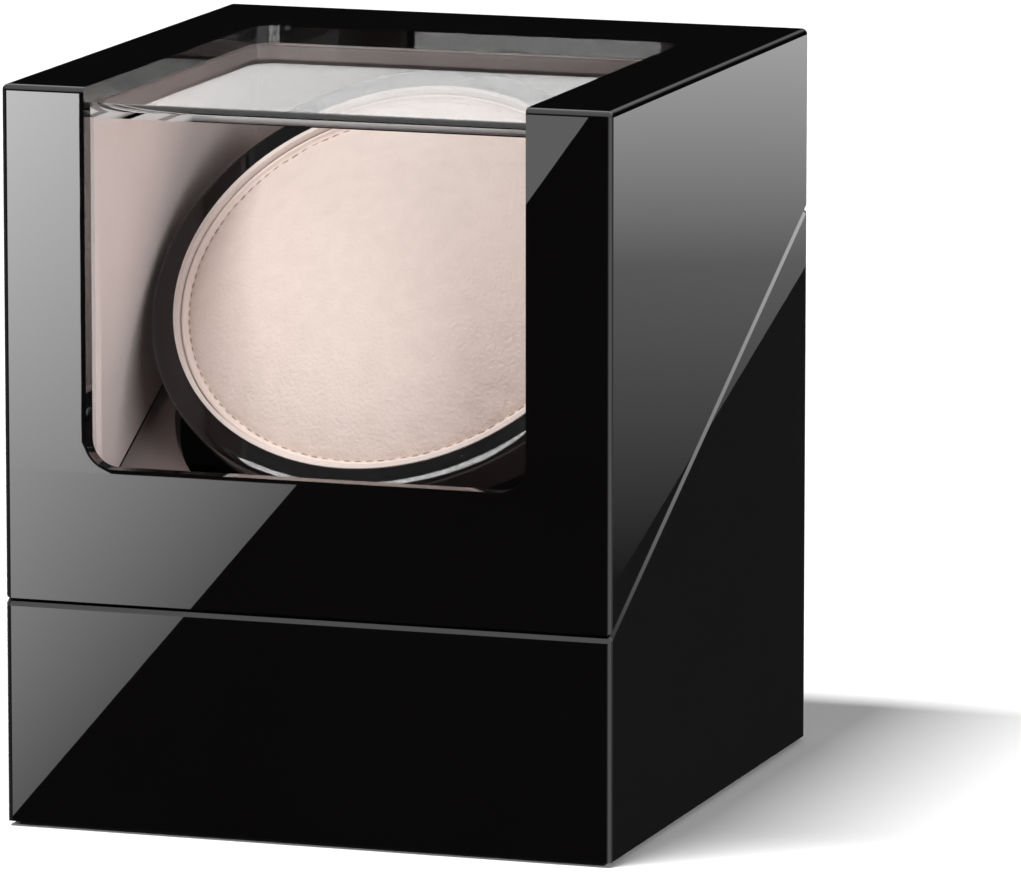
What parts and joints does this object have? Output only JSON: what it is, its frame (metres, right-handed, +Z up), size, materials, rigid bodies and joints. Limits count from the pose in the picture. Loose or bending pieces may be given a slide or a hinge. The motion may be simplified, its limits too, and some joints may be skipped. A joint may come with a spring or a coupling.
{
  "type": "watch winder box",
  "caption": "Gloss black watch winder box with a slanted hinged lid, a clear pane over front and top, and a tilted motor-driven cup holding a round pillow.",
  "frame": {"origin": "on the ground, at the middle of the felt sheet under the case", "axes": "+Z up, +Y to the back (hinges and control panel), +X to the right seen from the front"},
  "size_m": [0.125, 0.1342, 0.1475],
  "materials": {
    "lacquer": "mirror-gloss black piano lacquer on board",
    "clear_acrylic": "clear polished acrylic",
    "flannel": "pale beige flannel, short nap",
    "suede": "pale beige microfibre suede",
    "cup_plastic": "gloss black moulded plastic",
    "felt": "black pressed felt",
    "board": "raw fibreboard",
    "rubber_dot": "soft black rubber",
    "hinge_brass": "polished brass",
    "steel": "bright turned steel",
    "screw_steel": "black oxide",
    "bronze": "oiled sintered bronze",
    "nylon": "natural white nylon",
    "moulded_black": "satin black moulded plastic",
    "gearbox_zinc": "zinc die casting",
    "circuit_board": "green solder mask"
  },
  "bodies": {
    "base": {"base_shell": "lacquer", "deck": "flannel", "base_felt": "felt", "bottom_plate": "board", "corner_blocks": "board", "deck_ledgers": "board", "rim_bumpers": "rubber_dot", "hinge_base_leaves": "hinge_brass", "hinge_pins": "hinge_brass", "hinge_base_screws": "hinge_brass", "motor_can": "steel", "switch_nut": "steel", "bottom_screws": "screw_steel", "cradle_screws": "screw_steel", "motor_screws": "screw_steel", "panel_screws": "screw_steel", "shaft_bush": "bronze", "motor_cradle": "moulded_black", "control_panel": "moulded_black", "mode_switch": "moulded_black", "dc_socket": "moulded_black", "motor_cap": "moulded_black", "gearbox": "gearbox_zinc", "control_board": "circuit_board"},
    "lid": {"lid_shell": "lacquer", "window_pane": "clear_acrylic", "lid_top_lining": "flannel", "lid_front_lining": "flannel", "lid_side_linings": "flannel", "lid_back_lining": "flannel", "hinge_lid_leaves": "hinge_brass", "hinge_lid_screws": "hinge_brass"},
    "cup": {"cup": "cup_plastic", "cup_liner": "flannel", "pillow": "suede", "rotor_shaft": "steel", "driven_gear": "nylon", "thrust_washer": "nylon", "hub_washer": "steel", "hub_screw": "steel", "clip_washer": "steel", "shaft_clip": "steel"},
    "pinion": {"motor_pinion": "nylon", "output_shaft": "steel"},
    "knob": {"mode_knob": "moulded_black", "switch_spindle": "steel"}
  },
  "joints": [
    {"name": "lid_hinge", "type": "hinge", "parent": "base", "child": "lid", "pos_m": [0, 0.0672, 0.11212], "axis": [-1, 0, 0], "range_deg": [0, 100]},
    {"name": "cup_spin", "type": "hinge", "parent": "base", "child": "cup", "pos_m": [0, -0.01, 0.10349], "axis": [0, -0.7071, 0.7071], "continuous": true},
    {"name": "pinion_spin", "type": "hinge", "parent": "base", "child": "pinion", "pos_m": [0, -0.0281, 0.08539], "axis": [0, -0.7071, 0.7071], "continuous": true},
    {"name": "knob_turn", "type": "hinge", "parent": "base", "child": "knob", "pos_m": [-0.014, 0.06, 0.066], "axis": [0, 1, 0], "range_deg": [0, 90]}
  ],
  "couplings": [
    {"joint": "pinion_spin", "follows": "cup_spin", "ratio": -3}
  ]
}
